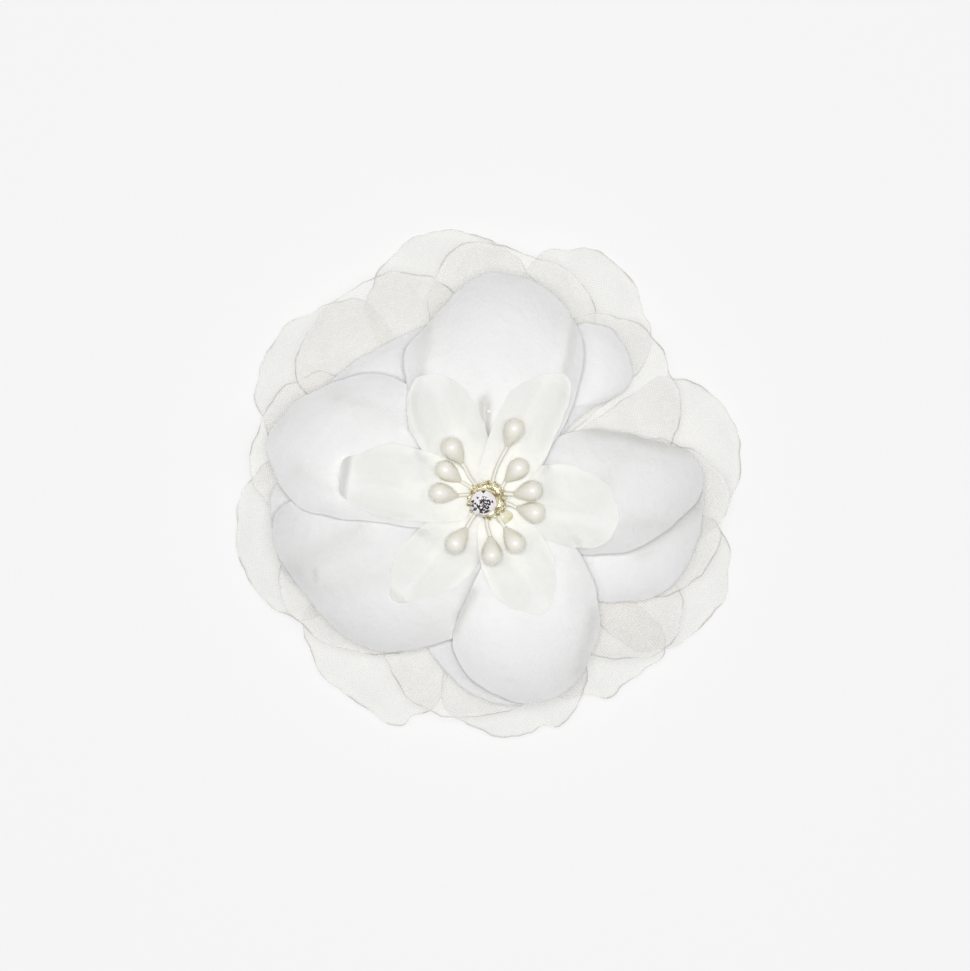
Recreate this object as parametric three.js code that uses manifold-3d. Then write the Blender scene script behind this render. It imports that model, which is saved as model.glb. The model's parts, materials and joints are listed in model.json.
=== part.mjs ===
// A fabric flower on a sprung alligator hair clip.
//
// Millimetres, +Z up. The flower lies on its back and faces +Z. The origin is the middle of its
// outline, on the surface that it lies on. The petals stand round a stem axis that is a little
// off that middle, and the clip runs along X under the stem, with its tip towards +X.

import * as THREE from "three";
import { mergeVertices } from "three/addons/utils/BufferGeometryUtils.js";
import Module from "manifold-3d";

const wasm = await Module();
wasm.setup();

const DEGREES = Math.PI / 180;

// ---------------------------------------------------------------- driving dimensions

const STEM_X = -0.3; // the stem axis, from the middle of the flower's outline
const STEM_Y = -3.3;
const CONTACT = 0.05; // between faces that touch

// The clip is folded from sheet steel.
const SHEET = 0.8;
const TAIL_END = -23; // the finger ends of both jaws
const TIP_END = 23;
const PIVOT_X = -8;
const TAIL_BEND = PIVOT_X - 2; // where the lower jaw's tail turns down
const TAIL_ANGLE = 20 * DEGREES; // down from level
const CHANNEL_DEPTH = 4; // from the gripping face to the lower jaw's floor, at the hinge
const JAW_FACE = SHEET + (TAIL_BEND - TAIL_END) * Math.tan(TAIL_ANGLE) + CHANNEL_DEPTH;
const PIVOT_Z = JAW_FACE - 2.1; // the upper jaw grips with the underside of its plate, at JAW_FACE
const UPPER_WIDTH = 8;
const UPPER_TIP_WIDTH = 5;
const LOWER_WIDTH = 5.8;
const EAR_RADIUS = 1.9; // round the hinge pin
const PIN_RADIUS = 0.8;
const PIN_CLEARANCE = 0.15;
const PIN_HEAD_RADIUS = 1.3;
const PIN_HEAD = 0.5;
const TOOTH_PITCH = 2;
const TOOTH_DEPTH = 1;
const TOOTH_GAP = 0.35; // tooth tips to the gripping face
const FIRST_TOOTH = -2;
const TOOTH_COUNT = 11;

// The torsion spring sits on the hinge pin.
const WIRE = 0.6;
const COIL_RADIUS = 1.3;
const COIL_TURNS = 4.5;
const COIL_LENGTH = 3;
const LEG_END = -17;

// Backing
const GLUE_PAD = 0.4;
const GLUE_PAD_LENGTH = 28;
const GLUE_PAD_WIDTH = 7;
const FELT = 1.2;
const FELT_RADIUS = 15;
const FELT_BOTTOM = JAW_FACE + SHEET + GLUE_PAD + 2 * CONTACT;
const FELT_TOP = FELT_BOTTOM + FELT;

// Petals are cut from sheet cloth. Their narrow necks are held round a core of glue and thread.
const CLOTH = 0.4;
const TIER = 0.8; // from one sheet up to the next
const NECK_RADIUS = 3.4;
const NECK_HALF_WIDTH = 1.4;
const BROADEST = 0.62; // where a petal is widest, as a share of its length
const FORM_SPAN = 46.6; // the radius over which a layer's rise and curl are stated
const CORE_RADIUS = 3;
const NECK_STEPS = 3;
const TIP_STEPS = 4;
const TIP_ANGLE = 86 * DEGREES; // of the quarter ellipse that rounds off the tip

// Each layer is one bowl-shaped form: its height above the neck is rise*q + curl*q*q, where q
// is the distance from the neck over FORM_SPAN. Each petal is [azimuth, reach, width, tier]:
// degrees round the stem, the plan distance from the stem to the tip, the plan width, and the
// sheet that it is in, counted from the bottom of its layer.
const LAYERS = [
  {
    name: "organza_back_petal",
    colour: 0xf0f1ec,
    columns: 4,
    tiers: 3,
    rise: 3,
    curl: -13,
    petals: [
      [100, 54, 34, 0],
      [60, 52.5, 30, 1],
      [12, 51, 34, 0],
      [-24, 50, 29, 1],
      [-54, 46, 30, 0],
      [-84, 47, 31, 1],
      [-122, 48.5, 34, 0],
      [-171, 50, 36, 1],
      [148, 52.5, 32, 2],
    ],
  },
  {
    name: "organza_front_petal",
    colour: 0xecece8,
    columns: 4,
    tiers: 2,
    rise: 5,
    curl: -6,
    petals: [
      [80, 49, 32, 0],
      [39, 44, 32, 1],
      [-5, 47.5, 32, 0],
      [-40, 45.5, 28, 1],
      [-100, 43.5, 36, 0],
      [-148, 45, 32, 1],
      [168, 47, 34, 0],
      [125, 49.5, 36, 1],
    ],
  },
  {
    name: "white_lower_petal",
    colour: 0xf2f2f3,
    columns: 6,
    tiers: 2,
    rise: 5,
    curl: 1.5,
    petals: [
      [130, 37, 28, 0],
      [44, 40, 28, 1],
      [-22, 40.5, 28, 0],
      [-105, 37.5, 28, 0],
      [-169, 42, 27, 1],
    ],
  },
  {
    name: "white_upper_petal",
    colour: 0xf4f4f4,
    columns: 6,
    tiers: 3,
    rise: 5.5,
    curl: 6,
    petals: [
      [86, 44, 38, 2],
      [166, 43.5, 33, 1],
      [218, 38, 34, 0],
      [282, 41, 30, 1],
      [4, 42, 27, 0],
    ],
  },
  {
    name: "ivory_inner_petal",
    colour: 0xf1f0e8,
    columns: 4,
    tiers: 2,
    rise: 6,
    curl: 7,
    petals: [
      [108, 25, 15, 0],
      [63, 27, 15, 1],
      [-2, 26, 15, 0],
      [-61, 26, 17, 1],
      [-135, 27.5, 16, 0],
      [172, 28.5, 14, 1],
    ],
  },
];
const FIRST_NECK = FELT_TOP + 0.4;
const TIER_COUNT = LAYERS.reduce((sum, layer) => sum + layer.tiers, 0);
const CORE_TOP = FIRST_NECK + TIER_COUNT * TIER;

// Stamens: a pearl drop on the end of each stiffened thread, as [azimuth, radius, height] of
// the pearl's fattest point.
const THREAD_RADIUS = 0.25;
const THREAD_START = 1.7;
const THREAD_HEIGHT = CORE_TOP + THREAD_RADIUS + 0.1;
const PEARL_RADIUS = 1.95;
const PEARL_LENGTH = 5.8;
const PEARL_TILT = 18 * DEGREES;
const STAMENS = [
  [124, 12.5, 26],
  [144.5, 10.2, 25.3],
  [171.5, 9.6, 25.8],
  [69, 15, 26.8],
  [45, 9, 25.2],
  [11.5, 9.2, 25.8],
  [-15, 9.9, 25.2],
  [-57, 10.3, 25.4],
  [-85, 11, 25.9],
  [-126, 10.7, 25.4],
];

// The jewel: a round crystal in a gilt cup.
const CUP_BOTTOM = THREAD_HEIGHT + THREAD_RADIUS + 0.1;
const CUP_RADIUS = 3.4;
const CUP_HEIGHT = 1.7;
const STONE_RADIUS = 2.55;
const STONE_TABLE_RADIUS = 1.5;
const STONE_CROWN = 1.05;
const STONE_GIRDLE = 0.3;
const STONE_PAVILION = 1.3;
const STONE_X = -0.7; // the crystal sits a little off the stem
const STONE_Y = -0.7;
const SEAT_CLEARANCE = 0.15;

// ---------------------------------------------------------------- helpers

// A closed geometry as a solid that can be joined and cut.
function solidOf(geometry) {
  const bare = geometry.clone();
  bare.deleteAttribute("normal");
  bare.deleteAttribute("uv");
  const merged = mergeVertices(bare, 1e-4);
  return new wasm.Manifold(
    new wasm.Mesh({
      numProp: 3,
      vertProperties: merged.attributes.position.array,
      triVerts: new Uint32Array(merged.index.array),
    }),
  );
}

function geometryOf(solid) {
  const { vertProperties, triVerts } = solid.getMesh();
  const geometry = new THREE.BufferGeometry();
  geometry.setAttribute("position", new THREE.BufferAttribute(vertProperties, 3));
  geometry.setIndex(new THREE.BufferAttribute(triVerts, 1));
  return geometry;
}

function join(...geometries) {
  return geometryOf(geometries.map(solidOf).reduce((all, next) => all.add(next)));
}

function cut(geometry, ...tools) {
  return geometryOf(tools.map(solidOf).reduce((left, tool) => left.subtract(tool), solidOf(geometry)));
}

function named(name, geometry, material) {
  const mesh = new THREE.Mesh(geometry, material);
  mesh.name = name;
  return mesh;
}

function finish(color, roughness, metalness = 0) {
  return new THREE.MeshStandardMaterial({ color, roughness, metalness });
}

// A plan outline, in X and Y, from one height up by a thickness.
function plate(shape, bottom, thickness) {
  const settings = { depth: thickness, bevelEnabled: false, curveSegments: 8 };
  return new THREE.ExtrudeGeometry(shape, settings).translate(0, 0, bottom);
}

// A side outline, in X and Z, centred on a place along Y.
function wall(shape, middle, thickness) {
  const settings = { depth: thickness, bevelEnabled: false, curveSegments: 10 };
  const geometry = new THREE.ExtrudeGeometry(shape, settings);
  return geometry.rotateX(Math.PI / 2).translate(0, middle + thickness / 2, 0);
}

// A round bar along Y, through the hinge axis.
function hingeBar(radius, length) {
  return new THREE.CylinderGeometry(radius, radius, length, 16).translate(PIVOT_X, 0, PIVOT_Z);
}

function roundBar(radius, height, segments) {
  return new THREE.CylinderGeometry(radius, radius, height, segments).rotateX(Math.PI / 2);
}

function tube(curve, radius, sides, steps) {
  const section = new THREE.Shape();
  for (let i = 0; i < sides; i++) {
    const angle = (i / sides) * 2 * Math.PI;
    section[i ? "lineTo" : "moveTo"](radius * Math.cos(angle), radius * Math.sin(angle));
  }
  return new THREE.ExtrudeGeometry(section, { extrudePath: curve, steps, bevelEnabled: false });
}

// ---------------------------------------------------------------- clip

const steel = finish(0xb9bbbd, 0.3, 1);

// The upper jaw: a flat plate with a round tip, and two ears that hold the pin.
function upperJaw() {
  const half = UPPER_WIDTH / 2;
  const tipHalf = UPPER_TIP_WIDTH / 2;
  const outline = new THREE.Shape()
    .moveTo(TAIL_END + 2, -half)
    .lineTo(PIVOT_X + 6, -half)
    .lineTo(TIP_END - tipHalf, -tipHalf)
    .absarc(TIP_END - tipHalf, 0, tipHalf, -Math.PI / 2, Math.PI / 2)
    .lineTo(PIVOT_X + 6, half)
    .lineTo(TAIL_END + 2, half)
    .absarc(TAIL_END + 2, half - 2, 2, Math.PI / 2, Math.PI)
    .absarc(TAIL_END + 2, 2 - half, 2, Math.PI, 1.5 * Math.PI);
  const ear = new THREE.Shape()
    .moveTo(PIVOT_X - 3.2, JAW_FACE + SHEET / 2)
    .lineTo(PIVOT_X - EAR_RADIUS, PIVOT_Z)
    .absarc(PIVOT_X, PIVOT_Z, EAR_RADIUS, Math.PI, 2 * Math.PI)
    .lineTo(PIVOT_X + 3.2, JAW_FACE + SHEET / 2);
  const earMiddle = (UPPER_WIDTH - SHEET) / 2;
  return cut(
    join(plate(outline, JAW_FACE, SHEET), wall(ear, earMiddle, SHEET), wall(ear, -earMiddle, SHEET)),
    hingeBar(PIN_RADIUS + PIN_CLEARANCE, 2 * UPPER_WIDTH),
  );
}

// The top line of the lower jaw's floor: down the tail to the hinge, then up to meet the tip.
const floorLine = [
  [TAIL_END, SHEET],
  [TAIL_BEND, JAW_FACE - CHANNEL_DEPTH],
  [PIVOT_X + 3, JAW_FACE - CHANNEL_DEPTH],
  [8, JAW_FACE - 2.6],
  [TIP_END - 3, JAW_FACE - 1],
  [TIP_END - 0.8, JAW_FACE - TOOTH_GAP],
];

// The lower jaw: a floor with a toothed wall down each side, lobes round the pin, and a tail.
function lowerJaw() {
  const floorProfile = new THREE.Shape();
  floorLine.forEach(([x, z], i) => floorProfile[i ? "lineTo" : "moveTo"](x, z));
  [...floorLine].reverse().forEach(([x, z]) => floorProfile.lineTo(x, z - SHEET));

  const side = new THREE.Shape()
    .moveTo(TAIL_BEND - 2, JAW_FACE - CHANNEL_DEPTH - 1.2)
    .lineTo(TAIL_BEND, JAW_FACE - CHANNEL_DEPTH)
    .lineTo(PIVOT_X - EAR_RADIUS, PIVOT_Z)
    .absarc(PIVOT_X, PIVOT_Z, EAR_RADIUS, Math.PI, 0, true)
    .lineTo(PIVOT_X + 3, JAW_FACE - 3)
    .lineTo(FIRST_TOOTH - TOOTH_PITCH / 2, JAW_FACE - TOOTH_GAP - TOOTH_DEPTH);
  for (let i = 0; i < TOOTH_COUNT; i++) {
    const x = FIRST_TOOTH + i * TOOTH_PITCH;
    side.lineTo(x, JAW_FACE - TOOTH_GAP);
    side.lineTo(x + TOOTH_PITCH / 2, JAW_FACE - TOOTH_GAP - TOOTH_DEPTH);
  }
  [...floorLine].slice(1, -1).reverse().forEach(([x, z]) => side.lineTo(x, z - SHEET / 2));

  const sideMiddle = (LOWER_WIDTH - SHEET) / 2;
  return cut(
    join(wall(floorProfile, 0, LOWER_WIDTH), wall(side, sideMiddle, SHEET), wall(side, -sideMiddle, SHEET)),
    hingeBar(PIN_RADIUS + PIN_CLEARANCE, 2 * UPPER_WIDTH),
  );
}

// The pin: a rivet with a head outside each of the upper jaw's ears.
function hingePin() {
  const half = UPPER_WIDTH / 2 + CONTACT;
  const profile = [
    [0, -half - PIN_HEAD],
    [PIN_HEAD_RADIUS * 0.7, -half - PIN_HEAD],
    [PIN_HEAD_RADIUS, -half - PIN_HEAD / 2],
    [PIN_HEAD_RADIUS, -half],
    [PIN_RADIUS, -half],
    [PIN_RADIUS, half],
    [PIN_HEAD_RADIUS, half],
    [PIN_HEAD_RADIUS, half + PIN_HEAD / 2],
    [PIN_HEAD_RADIUS * 0.7, half + PIN_HEAD],
    [0, half + PIN_HEAD],
  ].map(([radius, y]) => new THREE.Vector2(radius, y));
  return new THREE.LatheGeometry(profile, 16).translate(PIVOT_X, 0, PIVOT_Z);
}

// The spring: one leg under the upper jaw's tail, turns round the pin, one leg on the lower tail.
class SpringLine extends THREE.Curve {
  getPoint(share, target = new THREE.Vector3()) {
    const legShare = 0.12;
    const slope = Math.tan(TAIL_ANGLE);
    const legLength = PIVOT_X - LEG_END;
    if (share < legShare) {
      const back = legLength * (1 - share / legShare);
      const lift = 0.35 * (back / legLength);
      return target.set(PIVOT_X - back, -COIL_LENGTH / 2, PIVOT_Z + COIL_RADIUS + lift);
    }
    if (share > 1 - legShare) {
      const back = legLength * (1 - (1 - share) / legShare);
      const drop = Math.max(0, back - 2.2) * slope;
      return target.set(PIVOT_X - back, COIL_LENGTH / 2, PIVOT_Z - COIL_RADIUS - drop);
    }
    const turn = (share - legShare) / (1 - 2 * legShare);
    const angle = Math.PI / 2 - turn * COIL_TURNS * 2 * Math.PI;
    return target.set(
      PIVOT_X + COIL_RADIUS * Math.cos(angle),
      (turn - 0.5) * COIL_LENGTH,
      PIVOT_Z + COIL_RADIUS * Math.sin(angle),
    );
  }
}

const clip = new THREE.Group();
clip.add(
  named("clip_upper_jaw", upperJaw(), steel),
  named("clip_lower_jaw", lowerJaw(), steel),
  named("clip_hinge_pin", hingePin(), steel),
  named("clip_torsion_spring", tube(new SpringLine(), WIRE / 2, 6, 72), steel),
);

// ---------------------------------------------------------------- backing and core

function roundedPad(length, width) {
  const half = width / 2;
  const run = length / 2 - half;
  return new THREE.Shape()
    .absarc(run, 0, half, -Math.PI / 2, Math.PI / 2)
    .absarc(-run, 0, half, Math.PI / 2, 1.5 * Math.PI);
}

const backing = new THREE.Group();
backing.add(
  named(
    "glue_pad",
    plate(roundedPad(GLUE_PAD_LENGTH, GLUE_PAD_WIDTH), JAW_FACE + SHEET + CONTACT, GLUE_PAD),
    finish(0xe9e4d2, 0.4),
  ),
  named(
    "felt_backing_disc",
    roundBar(FELT_RADIUS, FELT, 36).translate(0, 0, FELT_BOTTOM + FELT / 2),
    finish(0xf3f2ee, 0.95),
  ),
  named(
    "petal_core",
    roundBar(CORE_RADIUS, CORE_TOP - FELT_TOP - CONTACT, 20)
      .translate(0, 0, (CORE_TOP + FELT_TOP + CONTACT) / 2),
    finish(0xefead9, 0.5),
  ),
);

// ---------------------------------------------------------------- petals

// The rows of a petal, from neck to tip, as shares of its length and of its half width.
const petalRows = [];
for (let i = 0; i < NECK_STEPS; i++) {
  petalRows.push([(BROADEST * i) / NECK_STEPS, Math.sin(((i / NECK_STEPS) * Math.PI) / 2) ** 1.25]);
}
for (let i = 0; i <= TIP_STEPS; i++) {
  const angle = (TIP_ANGLE * i) / TIP_STEPS;
  petalRows.push([BROADEST + (1 - BROADEST) * Math.sin(angle), Math.cos(angle)]);
}

// A petal along +X, as a slab between a lower and an upper grid of points on its layer's form.
function petalGeometry([, reach, width], neck, { rise, curl, columns }) {
  const points = [];
  for (const lift of [0, CLOTH]) {
    for (const [along, across] of petalRows) {
      const x = NECK_RADIUS + (reach - NECK_RADIUS) * along;
      const half = Math.max((width / 2) * across, along < BROADEST ? NECK_HALF_WIDTH : 0);
      for (let j = 0; j <= columns; j++) {
        const y = half * ((2 * j) / columns - 1);
        const q = (Math.hypot(x, y) - NECK_RADIUS) / FORM_SPAN;
        points.push(x, y, neck + lift + rise * q + curl * q * q);
      }
    }
  }
  const rows = petalRows.length;
  const sheet = rows * (columns + 1);
  const at = (row, column) => row * (columns + 1) + column;
  const faces = [];
  const quad = (a, b, c, d) => faces.push(a, b, c, a, c, d);
  for (let i = 0; i < rows - 1; i++) {
    for (let j = 0; j < columns; j++) {
      const corners = [at(i, j), at(i + 1, j), at(i + 1, j + 1), at(i, j + 1)];
      quad(...corners.map((k) => k + sheet));
      quad(...corners.reverse());
    }
    quad(at(i, 0), at(i + 1, 0), at(i + 1, 0) + sheet, at(i, 0) + sheet);
    quad(at(i + 1, columns), at(i, columns), at(i, columns) + sheet, at(i + 1, columns) + sheet);
  }
  for (let j = 0; j < columns; j++) {
    quad(at(0, j + 1), at(0, j), at(0, j) + sheet, at(0, j + 1) + sheet);
    quad(at(rows - 1, j), at(rows - 1, j + 1), at(rows - 1, j + 1) + sheet, at(rows - 1, j) + sheet);
  }
  const geometry = new THREE.BufferGeometry();
  geometry.setAttribute("position", new THREE.Float32BufferAttribute(points, 3));
  geometry.setIndex(faces);
  return geometry;
}

const petals = new THREE.Group();
let layerNeck = FIRST_NECK;
for (const layer of LAYERS) {
  const cloth = finish(layer.colour, 0.8);
  layer.petals.forEach((petal, i) => {
    const [azimuth, , , tier] = petal;
    const mesh = named(`${layer.name}_${i + 1}`, petalGeometry(petal, layerNeck + tier * TIER, layer), cloth);
    mesh.rotation.z = azimuth * DEGREES;
    petals.add(mesh);
  });
  layerNeck += layer.tiers * TIER;
}

// ---------------------------------------------------------------- stamens

// A pearl drop along +Y, with its narrow end at the origin.
function pearlDrop() {
  const profile = [];
  for (let i = 0; i <= 8; i++) {
    const angle = (i / 8) * Math.PI;
    const radius = i % 8 ? 1.3 * PEARL_RADIUS * Math.sin(angle) * Math.sin(angle / 2) : 0;
    profile.push(new THREE.Vector2(radius, (PEARL_LENGTH * (1 - Math.cos(angle))) / 2));
  }
  return new THREE.LatheGeometry(profile, 10);
}

// A stamen in the XZ plane: its thread rises from the core and runs a little into its pearl.
function stamenGeometry(radius, height) {
  const direction = new THREE.Vector3(Math.cos(PEARL_TILT), 0, Math.sin(PEARL_TILT));
  const base = new THREE.Vector3(radius, 0, height).addScaledVector(direction, -0.72 * PEARL_LENGTH);
  const turn = new THREE.Quaternion().setFromUnitVectors(new THREE.Vector3(0, 1, 0), direction);
  const pearl = pearlDrop().applyQuaternion(turn).translate(base.x, base.y, base.z);
  const thread = new THREE.CatmullRomCurve3([
    new THREE.Vector3(THREAD_START, 0, THREAD_HEIGHT),
    new THREE.Vector3(CUP_RADIUS, 0, THREAD_HEIGHT + 0.05),
    base,
    base.clone().addScaledVector(direction, 1.2),
  ]);
  return join(pearl, tube(thread, THREAD_RADIUS, 6, 7));
}

const stamens = new THREE.Group();
const pearlFinish = finish(0xf3eddc, 0.25);
STAMENS.forEach(([azimuth, radius, height], i) => {
  const mesh = named(`pearl_stamen_${i + 1}`, stamenGeometry(radius, height), pearlFinish);
  mesh.rotation.z = azimuth * DEGREES;
  stamens.add(mesh);
});

// ---------------------------------------------------------------- jewel

const SEAT_Z = CUP_BOTTOM + 0.3; // the point of the crystal's pavilion

function lathe(points, segments) {
  return new THREE.LatheGeometry(
    points.map(([radius, z]) => new THREE.Vector2(radius, z)),
    segments,
  ).rotateX(Math.PI / 2);
}

// A round-cut crystal: a point below, a girdle, and a flat table on top.
function crystal() {
  const girdle = SEAT_Z + STONE_PAVILION;
  const top = girdle + STONE_GIRDLE + STONE_CROWN;
  return lathe(
    [
      [0, SEAT_Z],
      [STONE_RADIUS, girdle],
      [STONE_RADIUS, girdle + STONE_GIRDLE],
      [STONE_TABLE_RADIUS, top],
      [0, top],
    ],
    16,
  ).translate(STONE_X, STONE_Y, 0);
}

// The cup: a low domed button with a seat cut to the crystal's shape.
function giltCup() {
  const rim = CUP_BOTTOM + CUP_HEIGHT;
  const dome = lathe(
    [
      [0, CUP_BOTTOM],
      [CUP_RADIUS - 0.6, CUP_BOTTOM],
      [CUP_RADIUS, CUP_BOTTOM + 0.6],
      [CUP_RADIUS - 0.3, rim - 0.3],
      [CUP_RADIUS - 0.9, rim],
      [0, rim],
    ],
    20,
  );
  const seatRadius = STONE_RADIUS + SEAT_CLEARANCE;
  const seat = lathe(
    [
      [0, SEAT_Z - SEAT_CLEARANCE],
      [seatRadius, SEAT_Z + STONE_PAVILION - SEAT_CLEARANCE],
      [seatRadius, rim + 1],
      [0, rim + 1],
    ],
    16,
  ).translate(STONE_X, STONE_Y, 0);
  return cut(dome, seat);
}

const jewel = new THREE.Group();
jewel.add(
  named("crystal", crystal(), finish(0xe8e4ea, 0.05)),
  named("gilt_cup", giltCup(), finish(0xcdbb6a, 0.35, 1)),
);

// ---------------------------------------------------------------- the whole clip

const flowerHairClip = new THREE.Group();
flowerHairClip.position.set(STEM_X, STEM_Y, 0);
flowerHairClip.add(clip, backing, petals, stamens, jewel);

export default flowerHairClip;
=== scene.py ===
"""Looks of a fabric flower on an alligator hair clip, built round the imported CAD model.

Lengths in the tables are millimetres and angles degrees, round the flower's stem; Blender gets metres.
"""

import json
import math

import bpy
import numpy as np
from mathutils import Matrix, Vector


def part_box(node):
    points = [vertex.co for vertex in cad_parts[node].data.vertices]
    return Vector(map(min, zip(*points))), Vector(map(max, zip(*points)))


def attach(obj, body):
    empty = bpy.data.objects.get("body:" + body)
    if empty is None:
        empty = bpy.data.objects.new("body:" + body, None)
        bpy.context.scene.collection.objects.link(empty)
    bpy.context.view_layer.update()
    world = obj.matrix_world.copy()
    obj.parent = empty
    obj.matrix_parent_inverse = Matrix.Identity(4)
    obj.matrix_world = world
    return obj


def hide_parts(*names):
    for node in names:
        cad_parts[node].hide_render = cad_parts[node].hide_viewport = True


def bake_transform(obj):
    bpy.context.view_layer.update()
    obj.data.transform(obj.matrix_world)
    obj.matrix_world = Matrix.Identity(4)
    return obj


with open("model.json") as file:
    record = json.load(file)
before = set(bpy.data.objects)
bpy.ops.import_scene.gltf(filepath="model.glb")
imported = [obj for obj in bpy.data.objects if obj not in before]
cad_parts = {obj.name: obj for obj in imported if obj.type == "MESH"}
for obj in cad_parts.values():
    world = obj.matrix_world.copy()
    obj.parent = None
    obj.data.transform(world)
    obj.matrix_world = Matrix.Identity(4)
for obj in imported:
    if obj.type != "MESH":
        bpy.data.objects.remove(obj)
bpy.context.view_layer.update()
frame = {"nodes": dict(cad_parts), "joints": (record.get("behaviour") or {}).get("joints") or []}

MM = 0.001
STEM = sum(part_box("petal_core"), Vector()) / 2 / MM  # the middle of the core, on the stem's axis


def box_mm(node):
    """A node's lowest and highest corners, in millimetres."""
    return [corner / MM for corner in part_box(node)]


# ---- camera, floor and lights

VIEW_WIDTH = 0.1892
VIEW_CENTRE = Vector((-0.0007, -0.0005, 0.018))
LENS = 200
SENSOR = 36
WORLD_LIGHT = 0.2
# Each softbox's name, place and size in metres, and watts. The first is nearly on the camera's axis.
SOFTBOXES = (
    ("top_softbox", (0, 0.02, 1.45), 0.32, 14.0),
    ("left_softbox", (-0.42, 0.06, 1.45), 0.2, 1.4),
    ("right_softbox", (0.42, 0.04, 1.45), 0.2, 1.4),
)
FLOOR_HALF = 4000  # millimetres
FLOOR_GLOW = 0.611


def add_object(name, data):
    made = bpy.data.objects.new(name, data)
    bpy.context.scene.collection.objects.link(made)
    return made


def make_camera():
    data = bpy.data.cameras.new("camera")
    data.lens, data.sensor_width = LENS, SENSOR
    data.clip_start, data.clip_end = 0.05, 20
    camera = add_object("camera", data)
    camera.location = VIEW_CENTRE + Vector((0, 0, VIEW_WIDTH * LENS / SENSOR))
    bpy.context.scene.camera = camera


def make_softbox(name, place, size, watts):
    data = bpy.data.lights.new(name, "AREA")
    data.shape = "SQUARE"
    data.size = size
    data.energy = watts
    light = add_object(name, data)
    light.location = place
    light.rotation_mode = "QUATERNION"
    light.rotation_quaternion = (VIEW_CENTRE - Vector(place)).to_track_quat("-Z", "Y")


def make_world():
    world = bpy.data.worlds.new("studio")
    world.use_nodes = True
    back = world.node_tree.nodes["Background"]
    back.inputs["Color"].default_value = (1, 1, 1, 1)
    back.inputs["Strength"].default_value = WORLD_LIGHT
    bpy.context.scene.world = world


# ---- shader nodes


class Shader:
    """A material on one Principled node, with short ways to add the nodes that feed it."""

    def __init__(self, name, **values):
        self.material = bpy.data.materials.new(name)
        self.material.use_nodes = True
        self.tree = self.material.node_tree
        self.surface = self.tree.nodes["Principled BSDF"]
        for socket, value in values.items():
            self.surface.inputs[socket.replace("_", " ")].default_value = value

    def node(self, kind, inputs=(), **settings):
        made = self.tree.nodes.new(kind)
        for key, value in settings.items():
            setattr(made, key, value)
        for key, value in dict(inputs).items():
            self.feed(made.inputs[key], value)
        return made

    def feed(self, socket, value):
        if isinstance(value, bpy.types.NodeSocket):
            self.tree.links.new(value, socket)
        else:
            socket.default_value = value

    def math(self, operation, a, b=0.0, c=0.0, clamp=False):
        inputs = {0: a, 1: b, 2: c}
        return self.node("ShaderNodeMath", inputs, operation=operation, use_clamp=clamp).outputs[0]

    def span(self, value, low, high, to_low=0.0, to_high=1.0):
        inputs = {"Value": value, "From Min": low, "From Max": high, "To Min": to_low, "To Max": to_high}
        return self.node("ShaderNodeMapRange", inputs, interpolation_type="SMOOTHSTEP").outputs["Result"]

    def mix(self, share, a, b):
        made = self.node("ShaderNodeMix", data_type="RGBA")
        for socket, value in ((made.inputs["Factor"], share), (made.inputs[6], a), (made.inputs[7], b)):
            self.feed(socket, value)
        return made.outputs[2]

    def noise(self, scale, detail=2.0, roughness=0.5, vector=None):
        inputs = {"Scale": scale, "Detail": detail, "Roughness": roughness}
        if vector is not None:
            inputs["Vector"] = vector
        return self.node("ShaderNodeTexNoise", inputs).outputs["Fac"]

    def place(self):
        return self.node("ShaderNodeTexCoord").outputs["Object"]

    def flat(self):
        """Where a point was on the flat cloth, as X and Y in units of 10 mm."""
        return self.node("ShaderNodeUVMap", uv_map="flat").outputs["UV"]

    def attribute(self, name):
        return self.node("ShaderNodeAttribute", attribute_name=name).outputs["Fac"]

    def bump(self, height, distance, strength=1.0, below=None):
        inputs = {"Height": height, "Distance": distance, "Strength": strength}
        if below is not None:
            inputs["Normal"] = below
        return self.node("ShaderNodeBump", inputs).outputs["Normal"]

    def set(self, socket, value):
        self.feed(self.surface.inputs[socket], value)


def grey(value):
    return (value, value, value, 1)


FLAT_TURN = 2 * math.pi * 10  # over a pitch in millimetres, it scales the flat map to that pitch
ORGANZA_PITCH = 0.44
SATIN_PITCH = 0.28
ORGANZA = (0.92, 0.91, 0.87, 1)
ORGANZA_SHADE = (0.87, 0.86, 0.82, 1)
ORGANZA_SEARED = (0.68, 0.65, 0.61, 1)
FOLD_SHADE_COLOUR = (0.62, 0.61, 0.57, 1)


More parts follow.
